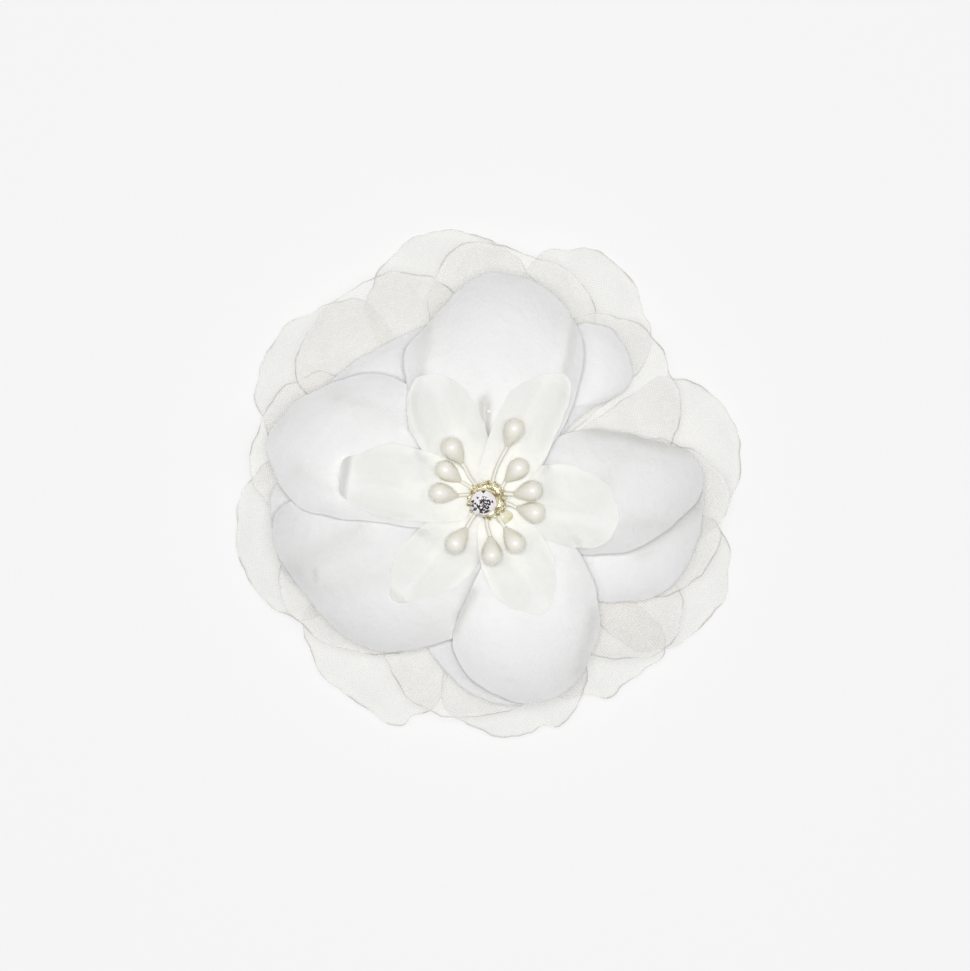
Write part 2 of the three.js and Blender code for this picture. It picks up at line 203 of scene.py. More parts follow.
def organza_material(name, weave_turn):
    """Sheer plain weave: fine threads with see-through gaps, and a seared rim."""
    s = Shader(name, Roughness=0.62, Sheen_Weight=0.25, Sheen_Roughness=0.4)
    flat = s.node("ShaderNodeMapping", {"Vector": s.flat(), "Rotation": (0, 0, math.radians(weave_turn))})
    wobble = s.noise(9.0, 1.0, vector=flat.outputs["Vector"])
    split = s.node("ShaderNodeSeparateXYZ", {"Vector": flat.outputs["Vector"]})
    bend = s.math("MULTIPLY", wobble, 5.0)
    threads = []
    for axis, pitch in (("X", ORGANZA_PITCH), ("Y", ORGANZA_PITCH * 1.12)):
        turns = s.math("MULTIPLY_ADD", split.outputs[axis], FLAT_TURN / pitch, bend)
        threads.append(s.math("MULTIPLY_ADD", s.math("SINE", turns), 0.5, 0.5))
    warp, weft = threads
    cover = s.math("MAXIMUM", warp, s.math("MULTIPLY", weft, 0.8))
    cloud = s.noise(1.6, 3.0, vector=flat.outputs["Vector"])
    rim = s.attribute("rim")
    uneven = s.span(s.noise(0.9, 2.0, vector=flat.outputs["Vector"]), 0.4, 0.6, 0.1, 1.0)
    seared = s.span(s.math("MULTIPLY", rim, uneven), 0.25, 0.95)
    woven = s.math("ADD", s.span(cover, 0.25, 0.95, 0.38, 0.46), s.span(cloud, 0.3, 0.7, -0.02, 0.03))
    s.set("Alpha", s.math("MAXIMUM", woven, s.math("MULTIPLY", seared, 0.62), clamp=True))
    cloth = s.mix(s.span(cloud, 0.35, 0.65), ORGANZA_SHADE, ORGANZA)
    s.set("Base Color", s.mix(seared, cloth, ORGANZA_SEARED))
    s.set("Normal", s.bump(s.math("ADD", warp, weft), 0.00008, 0.6))
    return s.material


def satin_material(name, colour, shade, rim_colour, outward_tint_and_painted_shade):
    """Opaque heat-formed cloth: a fine weave, faint clouds, painted shade and a seared rim."""
    s = Shader(name, Roughness=0.58, Sheen_Weight=0.3, Sheen_Roughness=0.35)
    flat = s.flat()
    split = s.node("ShaderNodeSeparateXYZ", {"Vector": flat})
    across = (s.math("MULTIPLY", split.outputs[axis], FLAT_TURN / SATIN_PITCH) for axis in "XY")
    weave = s.math("MULTIPLY", *(s.math("SINE", turns) for turns in across))
    cloud = s.noise(1.3, 4.0, 0.55, vector=flat)
    crumple = s.noise(4.5, 3.0, 0.6, vector=flat)
    # Painted shade: the colour darkens away from the stem; on the ivory it also fades from a cream tint near
    # the stem.
    colour = s.mix(s.attribute("outward_tint_and_painted_shade"), colour, outward_tint_and_painted_shade)
    body = s.mix(s.span(cloud, 0.3, 0.7, 0.65, 1.0), shade, colour)
    # Painted shade: the trough share draws the colour towards the darker tone, in the ivory's pressed troughs
    # and in a band inside the white petals' rims.
    pressed = s.mix(s.math("MULTIPLY", s.attribute("trough"), 0.8), body, shade)
    # Painted shade along the folds, and in the dark bands by some rims.
    pressed = s.mix(s.attribute("painted_fold_shade"), pressed, FOLD_SHADE_COLOUR)
    uneven = s.span(s.noise(4.0), 0.3, 0.65, 0.4, 1.0)
    seared = s.span(s.math("MULTIPLY", s.attribute("rim"), uneven), 0.5, 1.0)
    s.set("Base Color", s.mix(seared, pressed, rim_colour))
    normal = s.bump(crumple, 0.0009, 0.25)
    s.set("Normal", s.bump(weave, 0.00004, 0.5, below=normal))
    s.set("Roughness", s.span(crumple, 0.3, 0.7, 0.52, 0.68))
    return s.material


# ---- meshes


def mesh_object(name, points, faces, materials, smooth=True, kinds=None):
    """An object from points in millimetres. kinds is each face's material number."""
    data = bpy.data.meshes.new(name)
    data.from_pydata([tuple(p) for p in np.asarray(points) * MM], [], faces)
    for material in materials:
        data.materials.append(material)
    if kinds is not None:
        data.polygons.foreach_set("material_index", np.asarray(kinds, np.int32))
    data.polygons.foreach_set("use_smooth", [smooth] * len(data.polygons))
    data.validate()
    data.update()
    return add_object(name, data)


def paint(made, name, values, domain="POINT"):
    """An attribute that a material reads, with one value for each point or face."""
    layer = made.data.attributes.new(name, "FLOAT", domain)
    layer.data.foreach_set("value", np.asarray(values, np.float32))


def flat_map(made, coordinates):
    """The UV map "flat", from one pair of millimetres for each point."""
    layer = made.data.uv_layers.new(name="flat")
    corners = np.zeros(len(made.data.loops), np.int32)
    made.data.loops.foreach_get("vertex_index", corners)
    layer.data.foreach_set("uv", (np.asarray(coordinates)[corners] / 10).astype(np.float32).ravel())


def smoothstep(value, low, high):
    share = np.clip((value - low) / (high - low), 0, 1)
    return share * share * (3 - 2 * share)


def round_stem(azimuth, reach):
    """X and Y from an azimuth in degrees and a reach from the stem."""
    angle = np.radians(azimuth)
    return np.stack([reach * np.cos(angle), reach * np.sin(angle)], -1)


CURVE_STEPS = 24  # steps from one point of a curve to the next, before it is spaced evenly


def catmull_rom(before, near, far, beyond, t):
    """The curve from one point to the next, given the points before and beyond them."""
    bend, twist = 2 * before - 5 * near + 4 * far - beyond, 3 * near - before - 3 * far + beyond
    return 0.5 * (2 * near + t * (far - before) + t**2 * bend + t**3 * twist)


def closed_curve(points, samples):
    """A smooth ring through the points, as samples spaced evenly along its length."""
    p = np.asarray(points, float)
    t = np.linspace(0, 1, CURVE_STEPS, endpoint=False)[:, None, None]
    dense = catmull_rom(*(np.roll(p, k, 0) for k in (1, 0, -1, -2)), t)
    dense = dense.transpose(1, 0, 2).reshape(-1, p.shape[1])
    ring = np.vstack([dense, dense[:1]])
    along = np.concatenate([[0], np.cumsum(np.linalg.norm(np.diff(ring, axis=0), axis=1))])
    at = np.linspace(0, along[-1], samples, endpoint=False)
    return np.stack([np.interp(at, along, ring[:, k]) for k in range(ring.shape[1])], 1)


def smooth_line(points, samples):
    """A smooth open line through the points, with as many samples in each part."""
    p = np.asarray(points, float)
    p = np.vstack([2 * p[0] - p[1], p, 2 * p[-1] - p[-2]])
    at = np.linspace(0, len(p) - 3, samples)
    i = np.minimum(at.astype(int), len(p) - 4)
    return catmull_rom(*(p[i + k] for k in range(4)), (at - i)[:, None])


# ---- petal shapes

NECK_RADIUS = 3.2
NECK_HALF_WIDTH = 1.5
IVORY_NECK = 2.4
AROUND = 144  # points round a petal's outline
RINGS = 26  # rings from a petal's middle to its outline
BEAD_SIDES = 6

# Each petal's free outline as (azimuth, reach from the stem), from one side round the tip to the
# other, in the order of the CAD nodes' numbers.
OUTLINES = {
    "organza_back_petal": [
        [
            (124, 40), (117, 48.5), (111, 52), (105, 53.8), (99, 54), (93, 52.6), (87, 50.2), (80, 46),
            (74, 38),
        ],
        [(82, 40), (78, 49), (72, 52), (66, 54), (61, 52.8), (56, 51.8), (51, 48.7), (46, 46), (40, 38)],
        [
            (36, 37), (33, 44), (28, 47.8), (21, 50.2), (15, 51.3), (9, 50.8), (4, 49.5), (-2, 47.4),
            (-7, 45), (-12, 37),
        ],
        [(-3, 39), (-9, 47.5), (-14, 49.3), (-21, 50.6), (-27, 50), (-34, 48.2), (-41, 45), (-47, 37)],
        [(-35, 38), (-41, 46.2), (-47, 45.7), (-53, 45.3), (-58, 45.9), (-63, 43.2), (-70, 41.3), (-77, 34)],
        [
            (-59, 36), (-65, 43.3), (-72, 46.7), (-76, 45.9), (-80, 46.8), (-85, 47), (-90, 45.8), (-96, 44),
            (-104, 37),
        ],
        [
            (-103, 38), (-109, 45.4), (-111, 47.6), (-116, 48), (-123, 47.5), (-128, 47.5), (-134, 47.3),
            (-140, 45.7), (-145, 44), (-151, 36),
        ],
        [
            (-145, 38), (-151, 46), (-156, 48.3), (-162, 49.6), (-167, 50.2), (-173, 50), (-180, 48.5),
            (-185, 46.7), (-192, 39),
        ],
        [(168, 38), (159, 48), (154, 50.7), (146, 52.3), (139, 52.5), (134, 50.6), (127, 49), (120, 41)],
    ],
    "organza_front_petal": [
        [
            (108, 36), (103, 44), (100, 48), (96, 49.9), (90, 50.3), (84, 49.2), (77, 48), (71, 47.7),
            (65, 45.5), (60, 42), (55, 34),
        ],
        [
            (68, 32), (62, 40.6), (54, 44.1), (47, 45.4), (40, 44.9), (34, 43.3), (29, 42.9), (23, 41),
            (18, 38), (12, 31),
        ],
        [
            (21, 32), (15, 39.6), (10, 43.7), (5, 46.5), (0, 47.4), (-6, 46.1), (-12, 46.1), (-20, 43.9),
            (-26, 41), (-32, 33),
        ],
        [(-19, 33), (-25, 41), (-31, 44.5), (-38, 45.5), (-43, 44.4), (-48, 41.7), (-54, 37.6), (-61, 31)],
        [
            (-127, 32), (-120, 37.5), (-113, 41.2), (-106, 42.6), (-98, 42.9), (-89, 41.9), (-78, 40.4),
            (-70, 39.5), (-62, 33),
        ],
        [
            (-170, 34), (-163, 42), (-154, 44.2), (-146, 43.8), (-138, 41.9), (-132, 39.3), (-125, 36.8),
            (-117, 30),
        ],
        [(140, 36), (148, 44), (157, 46.4), (165, 46.9), (172, 46.8), (179, 44.3), (185, 39), (191, 31)],
        [
            (151, 37), (145, 45.6), (140, 47.1), (132, 48.6), (121, 48.9), (115, 48.5), (109, 46.8),
            (103, 44), (97, 36),
        ],
    ],
    "white_lower_petal": [
        [(158, 32), (150, 38), (142, 38.1), (132, 36.9), (123, 36.1), (115, 35.8), (106, 35.5), (99, 29)],
        [
            (67, 32), (62, 38.5), (55, 40.9), (50, 40.2), (46, 39.4), (41, 37.3), (38.5, 34.5), (39.5, 30),
            (42, 24),
        ],
        [
            (12, 31), (6, 39), (3, 41.8), (-7, 41.8), (-14, 41.4), (-22, 40.2), (-29, 38.2), (-36, 33.6),
            (-42, 29.2), (-47, 21),
        ],
        [(-122, 25), (-113, 30.3), (-103, 34.6), (-94, 37.9), (-87, 39.5), (-80, 40.2), (-72, 38), (-66, 31)],
        [
            (171, 32), (175, 40), (179, 42), (185, 42), (191, 42.1), (197, 42), (203, 40.9), (208, 37),
            (214, 29),
        ],
    ],
    "white_upper_petal": [
        [
            (155, 10), (140, 17), (133, 22), (125, 27), (119, 32.8), (110, 35.4), (104, 37.7), (98, 40.6),
            (93, 42.9), (87, 43.8), (77, 43.1), (68, 40.2), (59, 35.9), (54, 31.1), (48, 25), (40, 17),
            (28, 10),
        ],
        [
            (215, 9), (201, 15), (192, 21), (188, 27), (184, 34.3), (179, 38.5), (172, 41.7), (166, 43.9),
            (160, 43.3), (153, 41.6), (142, 37.1), (132, 33), (124, 27), (116, 19), (105, 10),
        ],
        [
            (180, 12), (180, 19), (179, 28), (180, 37), (183, 40.6), (187, 41.8), (192, 42.1), (198, 41.2),
            (210, 39.4), (222, 38.3), (234, 36), (242, 33), (252, 29), (264, 24), (278, 13),
        ],
        [
            (-94, 12), (-100, 17), (-103, 22), (-104, 27.5), (-99, 32.5), (-91, 36.4), (-82, 39.3),
            (-74, 40.5), (-65, 39.4), (-56, 36.1), (-47, 31.9), (-37, 25.7), (-26, 18), (-14, 10),
        ],
        [
            (48, 10), (42, 18), (35, 23.8), (26, 29.7), (18, 35.5), (13, 40.4), (5, 41.9), (-1, 40.2),
            (-11, 34.4), (-20, 29), (-30, 21), (-44, 12),
        ],
    ],
    "ivory_inner_petal": [
        [
            (152, 6), (147, 12), (138, 20), (129, 24.7), (121, 27.2), (113, 26.6), (105, 23.8), (98, 19.6),
            (90, 13), (78, 6),
        ],
        [
            (104, 6), (91, 11), (83, 16.6), (78, 21.3), (72, 24.1), (65, 27), (58, 28.7), (52, 26.4),
            (46, 20.8), (34, 13), (20, 6.5),
        ],
        [
            (46, 6), (38, 10), (26, 16), (16, 20.2), (8, 23.3), (-1, 25.2), (-9, 25.9), (-18, 25),
            (-25, 22.2), (-31, 17), (-38, 11), (-48, 6),
        ],
        [
            (-18, 6), (-30, 11), (-38, 15.4), (-45, 19), (-55, 22.7), (-63, 24.7), (-73, 22.7), (-84, 19.3),
            (-95, 13), (-108, 6),
        ],
        [
            (-176, 6), (-164, 10), (-155, 15.8), (-149, 20.7), (-140, 24.5), (-132, 26.6), (-122, 22.5),
            (-110, 18.2), (-99, 13), (-88, 6),
        ],
        [
            (124, 6), (136, 12), (149, 21.4), (159, 25.8), (165, 29), (173, 28.7), (180, 27.5), (187, 22.2),
            (194, 16.5), (204, 11), (220, 6),
        ],
    ],
}

# How each layer is formed: the bowl's depth, the height and the width of the steeper wall inside
# the rim, the ripple's height and the number of waves round the outline, the curl of the last part
# of the rim, the seared bead's radius, and the gap to what lies below.
FORM_PARTS = ("bowl", "wall", "band", "ripple", "waves", "curl", "bead", "gap")
FORMS = {
    "organza_back_petal": (0.8, 0, 5, 1.3, 7, 0.6, 0.075, 0.12),
    "organza_front_petal": (1.2, 0, 5, 1.1, 6, 0.7, 0.075, 0.12),
    "white_lower_petal": (0.7, 0.4, 6, 0.5, 4, 0.2, 0.05, 0.1),
    "white_upper_petal": (0.6, 0.7, 8, 0.5, 4, 0.2, 0.05, 0.1),
    "ivory_inner_petal": (0.8, 1.1, 2.4, 0.3, 3, 0.2, 0.025, 0.08),
}


class HeightMap:
    """The height of the cloth laid so far, over a grid of square cells round the stem."""

    CELL = 0.25
    HALF = 62.0

    def __init__(self):
        self.count = int(2 * self.HALF / self.CELL) + 1
        self.top = np.full((self.count, self.count), -np.inf)

    def sample(self, field, x, y):
        """A field's value between its cells."""
        column, row = (np.clip((a + self.HALF) / self.CELL, 0, self.count - 1.001) for a in (x, y))
        c, r = column.astype(int), row.astype(int)
        u, v = column - c, row - r
        return (
            field[r, c] * (1 - u) * (1 - v)
            + field[r, c + 1] * u * (1 - v)
            + field[r + 1, c] * (1 - u) * v
            + field[r + 1, c + 1] * u * v
        )

    def blur(self, field, radius):
        step = np.fft.fftfreq(self.count, self.CELL)
        fall = np.exp(-2 * (np.pi * radius) ** 2 * (step[:, None] ** 2 + step[None, :] ** 2))
        return np.fft.ifft2(np.fft.fft2(field) * fall).real

    def widen(self, field, radius):
        """Each cell takes the greatest value within the radius."""
        out = field
        for axis in (0, 1):
            best = out.copy()
            for k in range(1, int(radius / self.CELL) + 1):
                best = np.maximum(best, np.maximum(np.roll(out, k, axis), np.roll(out, -k, axis)))
            out = best
        return out

    def raster(self, x, y, z):
        """One petal's surface on the grid, from its grid of points, -inf where it isn't."""
        made = np.full_like(self.top, -np.inf)
        x, y, z = (refine(a, 4) for a in (x, y, z))
        nearest = (np.rint((a + self.HALF) / self.CELL).astype(int) for a in (y, x))
        row, column = (np.clip(cell, 0, self.count - 1) for cell in nearest)
        np.maximum.at(made, (row, column), z)
        return made


def refine(a, times):
    """A grid of rings by points round, made finer by linear steps both ways."""
    closed = np.concatenate([a, a[:, :1]], 1)
    rings, around = closed.shape
    at = np.linspace(0, around - 1, (around - 1) * times, endpoint=False)
    wide = np.stack([np.interp(at, np.arange(around), row) for row in closed])
    at = np.linspace(0, rings - 1, (rings - 1) * times + 1)
    low = np.minimum(at.astype(int), rings - 2)
    part = (at - low)[:, None]
    return wide[low] * (1 - part) + wide[low + 1] * part


class Petal:
    """One petal's plan, as rings from its middle to its outline, before it gets its height."""

    def __init__(self, node, layer, rim, seed):
        self.node, self.layer = node, layer
        self.cloth = layer.split("_")[0]  # organza, white or ivory
        self.form = dict(zip(FORM_PARTS, FORMS[layer]))
        self.random = np.random.default_rng(seed)
        points = round_stem(*np.array(rim, float).T)
        tip = points[len(points) // 2]
        azimuth = math.atan2(tip[1], tip[0])
        ahead = np.array([math.cos(azimuth), math.sin(azimuth)])
        aside = np.array([-ahead[1], ahead[0]])
        half = IVORY_NECK if self.cloth == "ivory" else NECK_HALF_WIDTH
        first = np.sign((points[0] - points[-1]) @ aside)
        start, end = (NECK_RADIUS * ahead + side * half * aside for side in (first, -first))
        outline = closed_curve(np.vstack([start, points, end]), AROUND)
        x, y = outline.T
        if np.sum(x * np.roll(y, -1) - np.roll(x, -1) * y) < 0:  # it runs clockwise
            outline = outline[::-1]
        self.centre = outline.mean(0)
        self.outline = self.roughened(outline)
        t = np.linspace(0, 1, RINGS + 1)
        self.rho = (1 - (1 - t) ** 1.5)[:, None]
        self.x = self.centre[0] + self.rho * (self.outline[:, 0] - self.centre[0])
        self.y = self.centre[1] + self.rho * (self.outline[:, 1] - self.centre[1])
        self.r = np.hypot(self.x, self.y)
        self.along = self.x * ahead[0] + self.y * ahead[1]
        self.across = self.x * aside[0] + self.y * aside[1]
        spokes = np.linalg.norm(self.outline - self.centre, axis=1)
        self.to_rim = (1 - self.rho) * spokes  # how far in from the rim, along a line to the middle

    def shares(self):
        """How far each point is to the side, and along the petal, both from 0 to 1."""
        side = np.abs(self.across) / np.abs(self.across).max()
        return side, np.clip(self.along / self.along.max(), 0, 1)

    def waves(self, counts, size):
        """A smooth random wave round the outline."""
        s = np.arange(AROUND) / AROUND * 2 * math.pi
        total = np.zeros(AROUND)
        for k in counts:
            total += self.random.uniform(0.5, 1) * np.sin(k * s + self.random.uniform(0, 2 * math.pi))
        return size * total / math.sqrt(len(counts))

    def roughened(self, outline):
        """The cut edge isn't quite true, and searing shrinks it unevenly."""
        outwards = outline - self.centre
        outwards /= np.linalg.norm(outwards, axis=1)[:, None]
        long_waves, short_waves = (0.28, 0.10) if self.cloth == "organza" else (0.12, 0.03)
        offset = self.waves((9, 13, 17), long_waves) + self.waves((29, 37, 45), short_waves)
        free = smoothstep(np.linalg.norm(outline, axis=1), 8, 20)
        return outline + outwards * (offset * free)[:, None]


# ---- petal heights


def node_points(node):
    return np.array([v.co for v in frame["nodes"][node].data.vertices]) / MM


def form_of(node):
    """The CAD petal's height as a quadratic of the distance from the stem."""
    points = node_points(node)
    r = np.hypot(points[:, 0] - STEM.x, points[:, 1] - STEM.y)
    return np.polyfit(r, points[:, 2], 2)


def formed_height(petal, cover):
    """A petal's own shape, before it is laid on what is below. cover is 1 where others lie on it."""
    f = petal.form
    z = np.polyval(form_of(petal.node), petal.r)
    away = smoothstep(petal.r, 7, 22)
    free = 1 - 0.9 * cover
    bowl = f["bowl"] * (1 + petal.waves((1, 2), 0.2)[None, :]) * (petal.rho**2 - 0.5)
    side, _ = petal.shares()
    wall = f["wall"] * (0.45 + 0.75 * side) * (1 + petal.waves((1, 2, 3), 0.3)[None, :])
    wall = wall * smoothstep(-petal.to_rim, -f["band"], 0)
    z = z + (bowl + wall) * away * free
    ripple = petal.waves((f["waves"] - 3, f["waves"], f["waves"] + 4), f["ripple"] / 2)[None, :]
    z = z + ripple * petal.rho**4 * away * free
    flip = petal.waves((2, 5, 9), 0.6)[None, :] + 0.4
    z = z + f["curl"] * flip * smoothstep(-petal.to_rim, -2.2, 0) ** 2 * away
    return z - folds(petal)[1]


# Narrow folds in some petals: where each starts and ends (azimuth, reach from the stem), its width,
# its depth and how dark the shade painted along it is.
FOLDS = {
    "white_upper_petal_1": [
        ((92, 9), (91.5, 19), 1.0, 1.3, 0.75),
        ((60, 29), (66, 41), 1.3, 0.9, 0.15),
        ((118, 26), (107, 36), 1.6, 0.8, 0.15),
    ],
    "white_upper_petal_2": [((176, 24), (171, 36), 1.9, 0.6, 0.1), ((140, 22), (146, 34), 2.2, 0.6, 0.15)],
    "white_upper_petal_3": [
        ((262, 15), (257, 23), 1.2, 0.5, 0.6),
        ((214, 24), (206, 37), 2.4, 0.6, 0.1),
        ((195, 25), (200, 38), 2.2, 0.8, 0.22),
        ((202, 36), (205, 36.5), 0.6, 0.1, 0.6),
    ],
    "white_upper_petal_4": [((-98, 18), (-104, 26), 1.0, 0.5, 0.6), ((-48, 30), (-62, 37), 1.4, 0.3, 0.35)],
    "white_upper_petal_5": [
        ((10, 22), (26, 30), 2.2, 0.7, 0.1),
        ((-8, 27), (-6, 38), 1.8, 0.5, 0.1),
        ((36, 24), (14, 40), 1.3, 0.2, 0.6),
    ],
    "white_lower_petal_3": [((-19, 31.5), (-2, 40.5), 1.7, 0.3, 0.4)],
    "ivory_inner_petal_5": [((-98, 10), (-98, 17), 0.6, 0.3, 0.35)],
}


def folds(petal):
    """How dark the shade painted along the folds is at each point, and the height that they take away."""
    shade_in_folds, drop = np.zeros_like(petal.r), np.zeros_like(petal.r)
    for start, end, width, depth, strength in FOLDS.get(petal.node, ()):
        a, b = round_stem(*start), round_stem(*end)
        run = b - a
        along = np.clip(((petal.x - a[0]) * run[0] + (petal.y - a[1]) * run[1]) / (run @ run), 0, 1)
        gap = np.hypot(petal.x - a[0] - along * run[0], petal.y - a[1] - along * run[1])
        here = np.exp(-((gap / width) ** 2))
        shade_in_folds = np.maximum(shade_in_folds, strength * here)
        drop = drop + depth * here
    return shade_in_folds, drop


# Petals whose tip stands up, with its height.
TIP_WALLS = {"ivory_inner_petal_6": 2.2, "ivory_inner_petal_5": 0.8}


def draped_height(petal, below):
    """A petal that is glued down, so that it follows what it lies on."""
    z = np.polyval(form_of(petal.node), petal.r) - 6 * smoothstep(petal.r, 5, 16)
    z = lay(petal, z, below, ((2.0, 2.2), (0.75, 0.5)))
    z = z + ivory_press(petal) + petal.waves((3, 5, 8), 0.18)[None, :] * petal.rho**3
    z = z + TIP_WALLS.get(petal.node, 0) * smoothstep(petal.along / petal.along.max(), 0.93, 1.0)
    return lay(petal, z, below, ((0.5, 0.4),))


def ivory_press(petal):
    """The pressed middle ridge and the trough on each side of it."""
    side, length = petal.shares()
    strength = smoothstep(length, 0.2, 0.45) * (1 - smoothstep(length, 0.82, 0.98))
    ridge = np.exp(-((side / 0.17) ** 2))
    trough = np.exp(-(((side - 0.5) / 0.22) ** 2))
    return strength * (0.55 * ridge - 0.25 * trough)


def trough_share(petal):
    """How much each point belongs to the two troughs, for the shade painted in them."""
    side, length = petal.shares()
    strength = smoothstep(length, 0.3, 0.5) * (1 - smoothstep(length, 0.85, 0.97))
    return strength * smoothstep(side, 0.12, 0.3) * (1 - smoothstep(side, 0.7, 0.92))


def lay(petal, z, below, passes=((1.5, 1.2), (0.75, 0.5))):
    """Raises a petal smoothly, so that it clears what lies below it."""
    for widen, blur in passes:
        mine = below.raster(petal.x, petal.y, z)
        both = np.isfinite(mine) & np.isfinite(below.top)
        need = np.where(both, below.top + petal.form["gap"] - np.where(both, mine, 0), 0)
        lift = below.blur(below.widen(np.maximum(need, 0), widen), blur)
        z = z + np.maximum(below.sample(lift, petal.x, petal.y), 0)
    return z


SETTLE_DEPTH = 2.5  # the deepest gap under a petal that is taken up
SETTLE_BLUR = 3.0
SETTLE_SHARE = 0.85  # how much of it is taken up


def settle(petal, z, below):
    """Lets a petal sink towards the cloth under it, so that its rim doesn't stand far above."""
    mine = below.raster(petal.x, petal.y, z)
    both = np.isfinite(mine) & np.isfinite(below.top)
    gap = np.where(both, np.where(both, mine, 0) - np.where(both, below.top, 0) - 0.3, 0)
    sag = below.blur(np.clip(gap, 0, SETTLE_DEPTH), SETTLE_BLUR)
    return z - SETTLE_SHARE * below.sample(sag, petal.x, petal.y)


# ---- petal meshes


def painted(petal):
    """What is painted on a petal: each attribute over the sheet, and along the bead round its rim."""
    # The trough share is painted shade: in the ivory's troughs, and in a band inside the rim of the others.
    free = smoothstep(petal.r, 9, 16)
    # The outward share paints shade that deepens away from the stem, and on the ivory a cream tint near it.
    if petal.cloth == "ivory":
        trough, outward_tint_and_painted_shade = trough_share(petal), smoothstep(petal.r, 9, 22)
    else:
        trough, outward_tint_and_painted_shade = 0.35 * smoothstep(-petal.to_rim, -3.5, 0), smoothstep(petal.r, 18, 42)
    shade_in_folds = folds(petal)[0]
    return {
        "rim": (smoothstep(-petal.to_rim, -0.7, -0.05) * free, free[-1]),
        "trough": (trough, np.ones(AROUND)),
        "painted_fold_shade": (shade_in_folds, shade_in_folds[-1]),
        "outward_tint_and_painted_shade": (outward_tint_and_painted_shade, outward_tint_and_painted_shade[-1]),
    }


def over_mesh(sheet, bead_sides):
    """Values in the order of a petal's points: its middle, the rings outwards, the bead's sides."""
    return np.concatenate([sheet[0, :1], *sheet[1:], *bead_sides])


def petal_mesh(petal, z, material):
    """The cloth as one sheet, with a seared bead round its rim."""
    grid = np.stack([petal.x, petal.y, z], -1)
    grid[0, :, 2] = z[0].mean()
    edge = grid[-1]
    outwards = edge[:, :2] - petal.centre
    outwards = np.pad(outwards / np.linalg.norm(outwards, axis=1)[:, None], ((0, 0), (0, 1)))
    radius = petal.form["bead"] * np.clip(1 + petal.waves((7, 11, 23, 31), 0.45), 0.35, 2)
    radius = radius * (0.4 + 0.6 * smoothstep(petal.r[-1], 9, 16))
    offsets = [math.cos(a) * outwards + math.sin(a) * np.array([0, 0, 1.0]) for a in turns(BEAD_SIDES)]
    points = over_mesh(grid, [edge + offset * radius[:, None] for offset in offsets])

    def band(a, b):
        return [(a + j, b + j, b + (j + 1) % AROUND, a + (j + 1) % AROUND) for j in range(AROUND)]

    faces = [(0, 1 + j, 1 + (j + 1) % AROUND) for j in range(AROUND)]
    for i in range(RINGS - 1):
        faces += band(1 + i * AROUND, 1 + (i + 1) * AROUND)
    start = 1 + RINGS * AROUND
    for k in range(BEAD_SIDES):
        faces += band(start + (k + 1) % BEAD_SIDES * AROUND, start + k * AROUND)
    made = mesh_object(f"{petal.node}_cloth", points + np.array([STEM.x, STEM.y, 0]), faces, [material])
    flat = np.stack([petal.along, petal.across], -1)
    flat_map(made, over_mesh(flat, [flat[-1]] * BEAD_SIDES))
    for name, (sheet, bead) in painted(petal).items():
        paint(made, name, over_mesh(sheet, [bead] * BEAD_SIDES))
    return made


def cloth_size(petal, z):
    """The petal's width, length and area as if laid flat, in metres.

    The length is the longest path from rim to rim through the petal's middle, along the cloth. The
    width is the path that starts a quarter of the outline further on.
    """
    points = np.stack([petal.x, petal.y, z], -1)

    def path(line):
        return np.linalg.norm(np.diff(line, axis=0), axis=1).sum()

    def across_at(j):
        k = (j + AROUND // 2) % AROUND
        return path(points[::-1, j]) + path(points[:, k])

    spans = [across_at(j) for j in range(AROUND // 2)]
    a, b, c, d = points[:-1], points[1:], np.roll(points[1:], -1, 1), np.roll(points[:-1], -1, 1)
    halves = np.cross(b - a, c - a), np.cross(c - a, d - a)
    area = 0.5 * sum(np.linalg.norm(half, axis=-1).sum() for half in halves)
    far = int(np.argmax(spans))
    length, width = spans[far], spans[(far + AROUND // 4) % (AROUND // 2)]
    return width * MM, length * MM, area * MM * MM


# ---- the flower


def ride(piece, node):
    """A piece of the flower's body that takes a CAD node's place."""
    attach(piece, "flower")
    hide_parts(node)


# A satin's tones: the cloth near the stem; the darker tone for its clouds and for the painted shade in its
# pressed troughs and inside its rim; its seared rim; and the painted shade far out from the stem.
SATINS = {
    "white_lower": (grey(0.90), grey(0.81), grey(0.7), grey(0.84)),
    "white_upper": (grey(0.935), grey(0.84), grey(0.78), grey(0.865)),
    # Darker copies of the white satin, which paint shade on the petals that take them.
    "white_in_painted_shade": (grey(0.875), grey(0.79), grey(0.75), grey(0.82)),
    "white_shaded": (grey(0.935), grey(0.84), grey(0.76), grey(0.80)),
    "ivory": ((0.94, 0.94, 0.895, 1), (0.83, 0.83, 0.805, 1), (0.85, 0.85, 0.84, 1), (0.89, 0.89, 0.87, 1)),
}

# Each layer's satin, and the petals that differ from their layer: darker copies that paint shade on them.
SATIN_OF = {
    "white_lower_petal": "white_lower",
    "white_upper_petal": "white_upper",
    "ivory_inner_petal": "ivory",
    "white_lower_petal_3": "white_in_painted_shade",
    "white_upper_petal_3": "white_in_painted_shade",
    "white_upper_petal_5": "white_in_painted_shade",
    "white_upper_petal_4": "white_shaded",
}

# Which petal of a layer lies on which: numbers from the bottom of the layer to its top.
LAID = {
    "organza_back_petal": [5, 3, 7, 1, 6, 4, 8, 2, 9],
    "organza_front_petal": [5, 4, 3, 7, 6, 1, 2, 8],
    "white_lower_petal": [4, 1, 5, 3, 2],
    "white_upper_petal": [5, 3, 4, 2, 1],
    "ivory_inner_petal": [5, 3, 1, 6, 4, 2],
}


